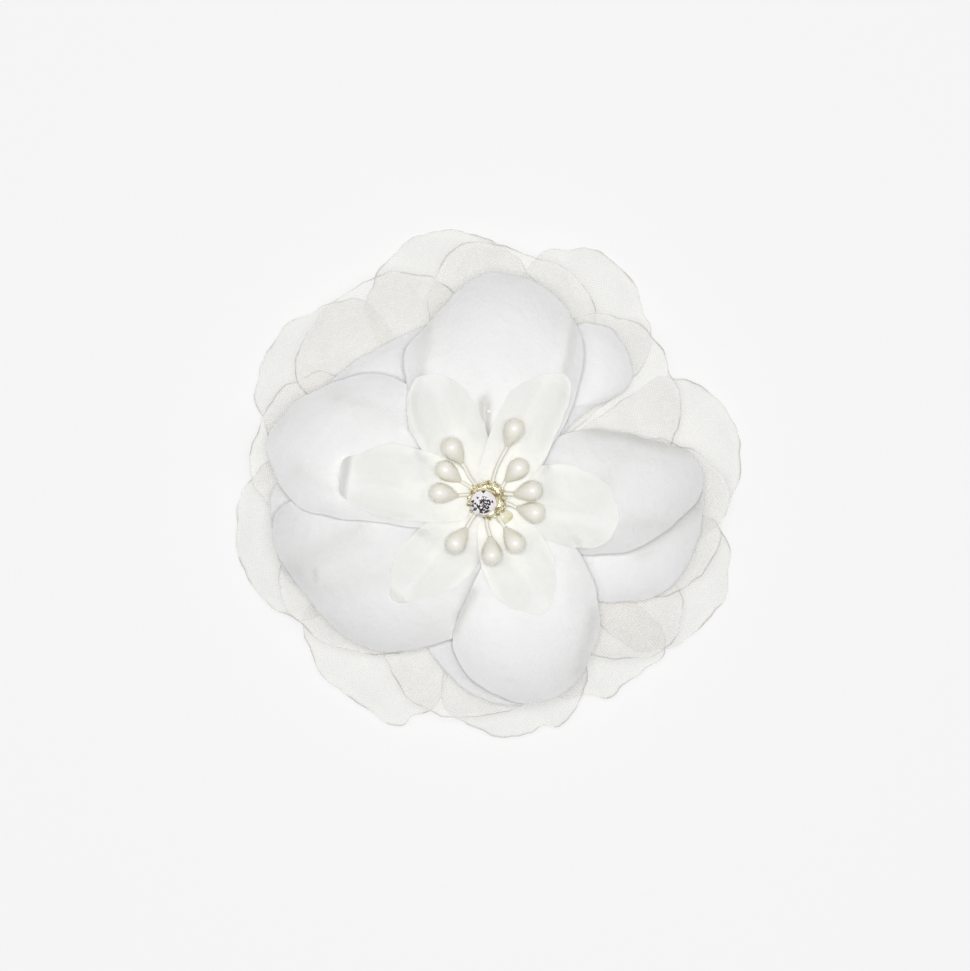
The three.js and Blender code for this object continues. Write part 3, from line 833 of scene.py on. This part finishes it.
def make_petals():
    """Forms and lays every petal from the back forwards. Gives the height map of them all."""
    petals = []
    for layer, outlines in OUTLINES.items():
        for number in LAID[layer]:
            node = f"{layer}_{number}"
            petals.append(Petal(node, layer, outlines[number - 1], seed=len(petals) + 11))
    below = HeightMap()
    masks = [np.isfinite(below.raster(p.x, p.y, p.r)) for p in petals]
    satins = {name: satin_material(name, *tones) for name, tones in SATINS.items()}
    for i, petal in enumerate(petals):
        above = np.zeros_like(below.top)
        for mask in masks[i + 1 :]:
            above = np.maximum(above, mask)
        cover = np.clip(below.sample(below.blur(above, 1.8), petal.x, petal.y), 0, 1)
        if petal.cloth == "ivory":
            z = draped_height(petal, below)
        else:
            z = lay(petal, formed_height(petal, cover), below)
        if petal.cloth == "white":
            z = lay(petal, settle(petal, z, below), below, ((0.75, 0.5),))
        below.top = np.maximum(below.top, below.raster(petal.x, petal.y, z))
        if petal.cloth == "organza":
            material = organza_material(f"{petal.node}_organza", petal.random.uniform(-60, 60))
        else:
            material = satins[SATIN_OF.get(petal.node, SATIN_OF.get(petal.layer))]
        made = petal_mesh(petal, z, material)
        ride(made, petal.node)
        width, length, area = cloth_size(petal, z)
    return below


# ---- solids of revolution and tubes


def turns(count, shift=0.0):
    """Angles spaced evenly round a circle."""
    return (np.arange(count) + shift) * 2 * math.pi / count


def ring_faces(rings, around):
    """Quads between rings of points, each ring with the same number of points."""
    faces = []
    for i in range(rings - 1):
        for j in range(around):
            a, b = i * around + j, i * around + (j + 1) % around
            faces.append((a, b, b + around, a + around))
    return faces


def closed_faces(rings, around):
    """Ring faces, with a flat face over the first ring and the last."""
    last = (rings - 1) * around
    ends = [tuple(range(around - 1, -1, -1)), tuple(range(last, last + around))]
    return ring_faces(rings, around) + ends


def lathe(profile, around):
    """Points and faces of a profile of (radius, height) turned round Z. Its ends are on the axis."""
    cos, sin = np.cos(turns(around)), np.sin(turns(around))
    rings = [np.stack([r * cos, r * sin, np.full(around, z)], 1) for r, z in profile[1:-1]]
    points = np.concatenate(rings + [[[0, 0, profile[0][1]], [0, 0, profile[-1][1]]]])
    faces = ring_faces(len(rings), around)
    first, last = len(points) - 2, len(points) - 1
    top = (len(rings) - 1) * around
    for j in range(around):
        k = (j + 1) % around
        faces.append((first, k, j))
        faces.append((last, top + j, top + k))
    return points, faces


def ball_profile(first, count):
    """A ball's profile from pole to pole, with count rings, the first at an angle from its pole."""
    angles = np.linspace(first, math.pi - first, count)
    return [(0, -1)] + [(math.sin(a), -math.cos(a)) for a in angles] + [(0, 1)]


def sweep(line, radii, sides):
    """Points and faces of a round tube along a line of points, with flat ends."""
    line = np.asarray(line, float)
    ahead = np.gradient(line, axis=0)
    ahead /= np.linalg.norm(ahead, axis=1)[:, None]
    side = np.cross(ahead[0], (0.0, 0.0, 1.0) if abs(ahead[0][2]) < 0.9 else (1.0, 0.0, 0.0))
    points = []
    for place, direction, radius in zip(line, ahead, radii):
        side = side - direction * (side @ direction)
        side /= np.linalg.norm(side)
        up = np.cross(direction, side)
        for angle in turns(sides):
            points.append(place + radius * (math.cos(angle) * side + math.sin(angle) * up))
    return np.array(points), closed_faces(len(line), sides)


class Shape:
    """Points, faces and each face's material number, gathered into one mesh."""

    def __init__(self):
        self.points, self.faces, self.kinds = [], [], []

    def add(self, points, faces, kind=0):
        start = sum(len(p) for p in self.points)
        self.points.append(np.asarray(points, float))
        self.faces += [tuple(i + start for i in face) for face in faces]
        self.kinds += [kind] * len(faces)

    def make(self, name, *materials):
        return mesh_object(name, np.concatenate(self.points), self.faces, materials, kinds=self.kinds)


# ---- stamens


PEARL_LENGTH = 5.8
PEARL_RADIUS = 1.95
PEARL_TILT = math.radians(18)
FATTEST = 0.66  # the fattest place along a pearl, from its narrow end
PEARL_RINGS = 22
THREAD_RADIUS = 0.34
THREAD_POINTS = 26


def pearl_radius(share):
    """A drop's radius along it: a slender neck that swells into a round end."""
    if share < FATTEST:
        return PEARL_RADIUS * (0.2 + 0.8 * math.sin(math.pi / 2 * share / FATTEST) ** 1.05)
    return PEARL_RADIUS * math.sqrt(max(0.0, 1 - ((share - FATTEST) / (1 - FATTEST)) ** 2))


def pearl_material():
    s = Shader("pearl", Roughness=0.3, Coat_Weight=1.0, Coat_Roughness=0.1, Coat_IOR=1.6)
    place = s.place()
    cloud = s.noise(420.0, 2.0, 0.5, vector=place)
    cream = s.mix(s.span(cloud, 0.3, 0.7), (0.94, 0.915, 0.84, 1), (0.96, 0.945, 0.89, 1))
    # Painted shade: the sides, which face away from up, are darker and warmer than the top.
    s.set("Base Color", s.mix(s.attribute("side"), cream, (0.88, 0.85, 0.73, 1)))
    s.set("Roughness", s.span(s.noise(900.0, 3.0, vector=place), 0.3, 0.7, 0.24, 0.4))
    s.set("Normal", s.bump(s.noise(1400.0, 3.0, 0.6, vector=place), 0.00003, 0.5))
    return s.material


def thread_material():
    s = Shader("stamen_thread", Roughness=0.6, Sheen_Weight=0.2)
    place = s.place()
    fibres = s.noise(900.0, 2.0, vector=place)
    s.set("Base Color", s.mix(fibres, (0.84, 0.81, 0.69, 1), (0.92, 0.90, 0.82, 1)))
    s.set("Normal", s.bump(s.noise(5000.0, 2.0, vector=place), 0.00004, 0.8))
    return s.material


def make_stamens():
    pearl, thread = pearl_material(), thread_material()
    random = np.random.default_rng(5)
    for node in sorted(n for n in frame["nodes"] if n.startswith("pearl_stamen")):
        points = node_points(node)
        out = np.hypot(points[:, 0] - STEM.x, points[:, 1] - STEM.y)
        tip = points[out > out.max() - 0.05].mean(0)
        azimuth = math.atan2(tip[1] - STEM.y, tip[0] - STEM.x)
        ahead = np.array([math.cos(azimuth), math.sin(azimuth), 0])
        axis = ahead * math.cos(PEARL_TILT) + np.array([0, 0, math.sin(PEARL_TILT)])
        base = tip - PEARL_LENGTH * axis
        start = points[out < out.min() + 0.3].mean(0)
        across = np.array([-ahead[1], ahead[0], 0])
        up = np.cross(axis, across)
        size = random.uniform(0.97, 1.04)
        bend = random.uniform(-0.5, 0.5) * across

        shape = Shape()
        shares = [math.sin(math.pi / 2 * k / PEARL_RINGS) for k in range(PEARL_RINGS)]
        profile = [(size * pearl_radius(t), PEARL_LENGTH * t) for t in shares]
        drop, faces = lathe([(0, 0)] + profile + [(0, PEARL_LENGTH)], 40)
        drop = base + drop[:, :1] * across + drop[:, 1:2] * up + drop[:, 2:] * axis
        shape.add(drop, faces, 0)

        middle_way = (start + base) / 2 + np.array([0, 0, 0.25]) + bend
        line = smooth_line([start, middle_way, base, base + 0.9 * axis], THREAD_POINTS)
        shape.add(*sweep(line, [THREAD_RADIUS] * THREAD_POINTS, 8), 1)
        made = shape.make(f"{node}_fine", pearl, thread)
        normals = np.zeros(3 * len(made.data.vertices), np.float32)
        made.data.vertex_normals.foreach_get("vector", normals)
        paint(made, "side", 1 - smoothstep(normals[2::3], 0.55, 0.98))  # painted shade: a pearl is darker and warmer on its sides than on top
        ride(made, node)


# ---- jewel


def crystal_material():
    """A foil-backed stone: each of its faces is painted light or dark, a painted reflection of what its back
    returns.
    """
    s = Shader("crystal", IOR=1.54, Coat_Weight=0.5, Coat_Roughness=0.03, Coat_IOR=1.6)
    s.set("Base Color", s.mix(s.attribute("painted_facet_reflection"), (0.010, 0.009, 0.012, 1), (1.0, 0.955, 0.985, 1)))
    s.set("Roughness", s.span(s.noise(2500.0, 2.0, vector=s.place()), 0.3, 0.7, 0.05, 0.14))
    return s.material


CRYSTAL_SIDES = 16
TABLE_SLOPE = 0.22  # the stone sits tilted in its cup
SUNK = 0.2  # how far the tilted stone is let down
DARK_REACH = 0.58  # the middle of the stone, where most facets get a dark painted reflection
DARK_INSIDE = 0.74  # the share of dark facets there
DARK_OUTSIDE = 0.16
# How far out from the stone's axis each ring of corners is, its depth below the table, and its turn
# in steps. The first four lie flat in the table, which carries painted reflections of the back's facets.
CRYSTAL_RINGS = (
    *((0.15, 0, 0), (0.30, 0, 0.5), (0.44, 0, 0), (0.56, 0, 0.5)),
    *((0.76, 0.16, 0), (1.0, 0.40, 0.5), (1.0, 0.50, 0.5), (0.62, 0.76, 0), (0.3, 0.90, 0.5)),
)


def make_crystal():
    """A round brilliant cut: a table, facets down to the girdle, and a pointed back."""
    low, high = box_mm("crystal")
    centre, radius = (low + high) / 2, (high.x - low.x) / 2
    height, count = high.z - low.z, CRYSTAL_SIDES
    points = []
    for reach, depth, turn in CRYSTAL_RINGS:
        angles = turns(count, turn)
        x = centre.x + reach * radius * np.cos(angles)
        y = centre.y + reach * radius * np.sin(angles)
        points.append(np.stack([x, y, np.full(count, high.z - depth * height)], 1))
    points.append([[centre.x, centre.y, high.z], [centre.x, centre.y, low.z]])
    points = np.concatenate(points)
    points[:, 2] += TABLE_SLOPE * (points[:, 1] - centre.y) - SUNK
    last = len(CRYSTAL_RINGS) - 1
    top, bottom = len(points) - 2, len(points) - 1
    faces = []
    for j in range(count):
        k = (j + 1) % count
        faces.append((top, j, k))
        faces.append((bottom, last * count + k, last * count + j))
        for i in range(last):
            a, b, c, d = i * count + j, i * count + k, (i + 1) * count + j, (i + 1) * count + k
            faces += [(a, c, b), (b, c, d)] if CRYSTAL_RINGS[i + 1][2] else [(a, c, d), (a, d, b)]
    made = mesh_object("crystal_brilliant", points, faces, [crystal_material()], smooth=False)
    # Painted reflections: each face is light or dark, and mostly dark round a spot near the middle.
    random = np.random.default_rng(8)
    middles = np.array([points[list(face)].mean(0) for face in faces])
    dark_reflection_spot = (centre.x + 0.1 * radius, centre.y - 0.2 * radius)
    away = np.hypot(middles[:, 0] - dark_reflection_spot[0], middles[:, 1] - dark_reflection_spot[1]) / radius
    chance = np.where(away < DARK_REACH, DARK_INSIDE, DARK_OUTSIDE)
    dark = random.uniform(0, 1, len(faces)) < chance
    light = random.choice([0.6, 0.85, 0.97, 1.0], len(faces), p=[0.08, 0.12, 0.3, 0.5])
    facets = np.where(dark, random.uniform(0, 0.06, len(faces)), light)
    paint(made, "painted_facet_reflection", facets, "FACE")
    ride(made, "crystal")


def gilt_material():
    s = Shader("gilt", Metallic=0.35, Roughness=0.3)
    place = s.place()
    tarnish = s.span(s.noise(1100.0, 4.0, 0.65, vector=place), 0.45, 0.62)
    gold = s.mix(s.noise(600.0, 2.0, vector=place), (0.92, 0.86, 0.56, 1), (0.97, 0.94, 0.74, 1))
    s.set("Base Color", s.mix(tarnish, gold, (0.34, 0.26, 0.11, 1)))
    s.set("Roughness", s.span(tarnish, 0.0, 1.0, 0.22, 0.5))
    s.set("Normal", s.bump(s.noise(3000.0, 3.0, 0.6, vector=place), 0.00006, 0.8))
    return s.material


GRAINS = 260


def make_gilt_cup():
    """A domed button with a seat for the crystal, crusted with gilt grains."""
    low, high = box_mm("gilt_cup")
    stone_low, stone_high = box_mm("crystal")
    seat = (stone_low + stone_high) / 2
    seat_radius = (stone_high.x - stone_low.x) / 2
    centre, radius, height = (low + high) / 2, (high.x - low.x) / 2, high.z - low.z
    profile = [(0, low.z), (0.8 * radius, low.z)]
    profile += [
        (radius * (0.8 + 0.2 * math.sin(a)), low.z + 0.5 * height * (1 - math.cos(a)))
        for a in np.linspace(0.4, math.pi - 0.6, 9)
    ]
    profile += [(out * radius, high.z - down * height) for out, down in ((0.62, 0.15), (0.5, 0.5), (0, 0.75))]
    points, faces = lathe(profile, 64)
    points[:, :2] += centre.xy
    shape = Shape()
    shape.add(points, faces)
    random = np.random.default_rng(21)
    grain, grain_faces = lathe(ball_profile(0.5, 5), 8)
    for _ in range(GRAINS):
        angle, share = random.uniform(0, 2 * math.pi), random.uniform(0, 1)
        out = radius * (0.70 + 0.42 * share)
        place = np.array([centre.x + out * math.cos(angle), centre.y + out * math.sin(angle), 0])
        if math.hypot(place[0] - seat.x, place[1] - seat.y) < seat_radius + 0.12:
            continue  # it would lie on the crystal
        place[2] = high.z - height * (0.05 + 0.75 * share**2) + random.uniform(-0.1, 0.1)
        size = random.uniform(0.15, 0.34)
        rough = 1 + random.uniform(-0.25, 0.25, (len(grain), 1))
        shape.add(place + grain * rough * size * np.array([1, 1, 0.8]), grain_faces)
    ride(shape.make("gilt_cup_grains", gilt_material()), "gilt_cup")


# ---- core and backing


def fibre_material(name, colour, shade, scale):
    s = Shader(name, Roughness=0.95, Sheen_Weight=0.5, Sheen_Roughness=0.6)
    place = s.place()
    lie = {"Vector": place, "Scale": (1.0, 0.35, 1.0), "Rotation": (0, 0, 0.7)}
    warped = s.node("ShaderNodeMapping", lie)
    long_fibres = s.noise(scale, 5.0, 0.7, vector=warped.outputs["Vector"])
    fuzz = s.noise(2.5 * scale, 4.0, 0.7, vector=place)
    s.set("Base Color", s.mix(s.span(long_fibres, 0.35, 0.65), shade, colour))
    s.set("Normal", s.bump(s.math("ADD", long_fibres, fuzz), 0.0003, 0.8))
    return s.material


def make_felt():
    """A disc cut from felt, with a slightly uneven edge and a soft face."""
    low, high = box_mm("felt_backing_disc")
    centre, radius = (low + high) / 2, (high.x - low.x) / 2
    random = np.random.default_rng(31)
    around, soft = 160, 0.3
    angles = turns(around)
    edge = 0.12 * sum(np.sin(k * angles + random.uniform(0, 6)) for k in (5, 11, 23, 37)) / 2
    corner = [(soft * (1 - math.sin(a)), soft * (1 - math.cos(a))) for a in np.linspace(0, math.pi / 2, 4)]
    inner = [0.12, 0.3, 0.45, 0.6, 0.72, 0.82, 0.9, 0.96]
    rows = [(radius * k, low.z) for k in inner] + [(radius - a, low.z + b) for a, b in corner]
    rows += [(radius - a, high.z - b) for a, b in reversed(corner)]
    rows += [(radius * k, high.z) for k in reversed(inner)]
    points = []
    for r, z in rows:
        lump = 0.05 * random.standard_normal(around) * (1 if 0.3 * radius < r < radius - soft else 0.4)
        inwards = 1 if z > centre.z else -1
        out = r + (edge - 0.15) * (r / radius) ** 4
        x, y = centre.x + out * np.cos(angles), centre.y + out * np.sin(angles)
        points.append(np.stack([x, y, z - inwards * np.abs(lump)], 1))
    faces = closed_faces(len(rows), around)
    material = fibre_material("felt", (0.90, 0.89, 0.86, 1), (0.80, 0.79, 0.75, 1), 900.0)
    felt = mesh_object("felt_backing_disc_soft", np.concatenate(points), faces, [material])
    ride(felt, "felt_backing_disc")


OLD_GLUE = (0.88, 0.85, 0.76, 1)


def glue_material(name, colour):
    s = Shader(name, Roughness=0.3, Coat_Weight=0.4, Coat_Roughness=0.1)
    place = s.place()
    cloud = s.span(s.noise(300.0, 2.0, vector=place), 0.3, 0.7)
    s.set("Base Color", s.mix(cloud, colour, OLD_GLUE))
    s.set("Normal", s.bump(s.noise(500.0, 2.0, vector=place), 0.0002, 0.5))
    return s.material


def make_glue_pad():
    """Hot glue squeezed flat between the upper jaw and the felt, with a swollen uneven edge."""
    low, high = box_mm("glue_pad")
    centre = (low + high) / 2
    half_width = (high.y - low.y) / 2
    run = (high.x - low.x) / 2 - half_width
    random = np.random.default_rng(41)
    around = 180
    angles = turns(around)
    wave = sum(np.sin(k * angles + random.uniform(0, 6)) / k for k in (3, 5, 8, 13))
    out = half_width * (0.94 + 0.12 * wave)
    shift = run * np.tanh(3 * np.cos(angles))
    rows = [(0.3, 0.0), (0.75, 0.0), (0.92, 0.08), (1.0, 0.35)]
    rows += [(share, 1 - level) for share, level in reversed(rows)]
    points = []
    for share, level in rows:
        x = centre.x + shift + share * out * np.cos(angles)
        y = centre.y + share * out * np.sin(angles)
        points.append(np.stack([x, y, np.full(around, low.z + level * (high.z - low.z))], 1))
    hot_glue = glue_material("hot_glue", (0.82, 0.77, 0.62, 1))
    faces = closed_faces(len(rows), around)
    pad = mesh_object("glue_pad_squeezed", np.concatenate(points), faces, [hot_glue])
    ride(pad, "glue_pad")


def make_core():
    """The petals' necks are bound round a stem: thread wound over glue."""
    low, high = box_mm("petal_core")
    radius, height = (high.x - low.x) / 2, high.z - low.z
    thread = 0.28
    random = np.random.default_rng(51)
    profile = [(0, 0), (radius - 1.4 * thread, 0.05)]
    profile += [(radius - thread * random.uniform(1.2, 1.6), z) for z in np.linspace(0.1, height - 0.1, 24)]
    profile += [(radius - 1.6 * thread, height - 0.03), (0, height)]
    points, faces = lathe(profile, 40)
    shape = Shape()
    shape.add(points + np.array([STEM.x, STEM.y, low.z]), faces, 0)
    rounds = int((height - 2 * thread) / (2.05 * thread))
    at = np.linspace(0, 1, 28 * rounds)
    wander = 0.06 * np.sin(17 * at) + 0.04 * np.sin(41 * at)
    out = radius - thread + wander - 0.1
    angle = 2 * math.pi * rounds * at
    height_at = low.z + thread + (height - 2 * thread) * at
    line = np.stack([STEM.x + out * np.cos(angle), STEM.y + out * np.sin(angle), height_at], 1)
    shape.add(*sweep(line, [thread] * len(line), 8), 1)
    stem_glue = glue_material("stem_glue", (0.86, 0.82, 0.70, 1))
    ride(shape.make("petal_core_bound", stem_glue, thread_material()), "petal_core")


def make_glue_drops(surface):
    """Two small drops of glue on the petals, whose height map is given."""
    clear = glue_material("clear_glue", (0.90, 0.89, 0.86, 1))
    yellow = glue_material("yellow_glue", (0.62, 0.59, 0.28, 1))
    drops = (
        ("glue_bead", 0.4, 17.2, 0.5, 0.6, clear),
        ("glue_blob", 3.2, -3.2, 1.6, 0.5, yellow),
    )
    for name, x, y, size, flat, material in drops:
        points, faces = lathe(ball_profile(0.2, 12), 28)
        lump = 1 + 0.07 * np.sin(3 * np.arctan2(points[:, 1], points[:, 0]) + 1)
        points = points * size * np.array([1.1, 0.9, flat]) * lump[:, None]
        top = surface.sample(surface.top, np.array([x]), np.array([y]))[0]
        points += np.array([STEM.x + x, STEM.y + y, top + 0.6 * size * flat])
        drop = mesh_object(name, points, faces, [material])
        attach(drop, "flower")


# ---- clip

PIVOT = Vector(next(j["pos_m"] for j in frame["joints"] if j["name"] == "jaw_hinge")) / MM


def steel_material(name, colour, scratch):
    s = Shader(name, Metallic=1.0, Roughness=0.28)
    place = s.place()
    drawn = s.node("ShaderNodeMapping", {"Vector": place, "Scale": (0.06, 1.0, 1.0)})
    grain = s.noise(scratch, 3.0, 0.6, vector=drawn.outputs["Vector"])
    stain = s.noise(420.0, 4.0, 0.6, vector=place)
    s.set("Base Color", s.mix(s.span(stain, 0.45, 0.75, 0.0, 0.4), colour, (0.46, 0.44, 0.40, 1)))
    s.set("Roughness", s.span(s.math("ADD", grain, stain), 0.7, 1.3, 0.18, 0.42))
    s.set("Normal", s.bump(grain, 0.00003, 0.4))
    return s.material


def dress_jaws(nickel):
    """The folded steel keeps its CAD shape, with its edges rounded and a nickel finish."""
    for node in ("clip_upper_jaw", "clip_lower_jaw"):
        jaw = frame["nodes"][node]
        jaw.data.materials.clear()
        jaw.data.materials.append(nickel)
        weld = jaw.modifiers.new("weld", "WELD")
        weld.merge_threshold = 0.00002
        bevel = jaw.modifiers.new("bevel", "BEVEL")
        bevel.width, bevel.segments = 0.00012, 2
        bevel.limit_method, bevel.angle_limit = "ANGLE", math.radians(35)


SHANK_RADIUS = 0.8
HEAD_THICKNESS = 0.5
# The rivet's head, from its dimple to its rim and under it: the share of the head's radius, and the
# distance in from the end.
HEAD = ((0, 0.12), (0.3, 0.1), (0.42, 0.02), (0.62, 0), (0.86, 0.15), (0.98, 0.31), (1, 0.425), (0.97, 0.5))


def make_pin(nickel):
    """The hinge rivet: a shank, and a head at each end with a dimple where it was closed."""
    low, high = box_mm("clip_hinge_pin")
    half, head = (high.y - low.y) / 2, (high.z - low.z) / 2
    side = [(share * head, half - inwards) for share, inwards in HEAD]
    side.append((SHANK_RADIUS, half - HEAD_THICKNESS))
    profile = [(r, -y) for r, y in side] + [(r, y) for r, y in reversed(side)]
    points, faces = lathe(profile, 48)
    points = points[:, [0, 2, 1]] + np.array([PIVOT.x, (low.y + high.y) / 2, PIVOT.z])
    rivet = mesh_object("clip_hinge_rivet", points, [face[::-1] for face in faces], [nickel])
    ride(rivet, "clip_hinge_pin")


WIRE_RADIUS = 0.3
COIL_RADIUS = 1.3
COIL_TURNS = 4.5
COIL_HALF = 1.5  # from the coil's middle to each leg, along the pin
LEG_LENGTH = 9
LEG_RISE = 0.35  # how much the leg under the upper tail rises towards its end
BEND_START = 2.2  # how far back from the pin the leg on the lower tail bends down with it
TAIL_SLOPE = math.tan(math.radians(20))


def make_spring():
    """The torsion spring: a leg under the upper tail, turns round the pin, a leg on the lower tail."""
    line = [
        (-back, -COIL_HALF, COIL_RADIUS + LEG_RISE * back / LEG_LENGTH)
        for back in np.linspace(LEG_LENGTH, 0.4, 16)
    ]
    for turn in np.linspace(0, 1, 190):
        angle = math.pi / 2 - turn * COIL_TURNS * 2 * math.pi
        y = (2 * turn - 1) * COIL_HALF
        line.append((COIL_RADIUS * math.cos(angle), y, COIL_RADIUS * math.sin(angle)))
    for back in np.linspace(0.4, LEG_LENGTH, 20):
        line.append((-back, COIL_HALF, -COIL_RADIUS - max(0, back - BEND_START) * TAIL_SLOPE))
    line = np.array(line) + np.array([PIVOT.x, PIVOT.y, PIVOT.z])
    radii = np.full(len(line), WIRE_RADIUS)
    radii[[0, -1]] *= 0.7
    points, faces = sweep(line, radii, 14)
    steel = steel_material("spring_steel", (0.55, 0.54, 0.52, 1), 2600.0)
    spring = mesh_object("clip_torsion_spring_coil", points, faces, [steel])
    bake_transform(spring)
    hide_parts("clip_torsion_spring")


def make_clip():
    nickel = steel_material("nickel_plate", (0.72, 0.71, 0.68, 1), 1800.0)
    dress_jaws(nickel)
    make_pin(nickel)
    make_spring()


def make_floor():
    glow = dict(Emission_Color=grey(1.0), Emission_Strength=FLOOR_GLOW)
    s = Shader("pale_floor", Roughness=0.9, Base_Color=grey(0.3), **glow)
    corners = [(x * FLOOR_HALF, y * FLOOR_HALF, 0) for x, y in ((-1, -1), (1, -1), (1, 1), (-1, 1))]
    mesh_object("floor", corners, [(0, 1, 2, 3)], [s.material], smooth=False)


# ---- the scene

make_camera()
make_world()
for softbox in SOFTBOXES:
    make_softbox(*softbox)

surface = make_petals()
make_stamens()
make_crystal()
make_gilt_cup()
make_core()
make_glue_pad()
make_felt()
make_glue_drops(surface)
make_clip()


make_floor()
scene = bpy.context.scene
scene.view_settings.view_transform = "Standard"
scene.cycles.transparent_max_bounces = 32
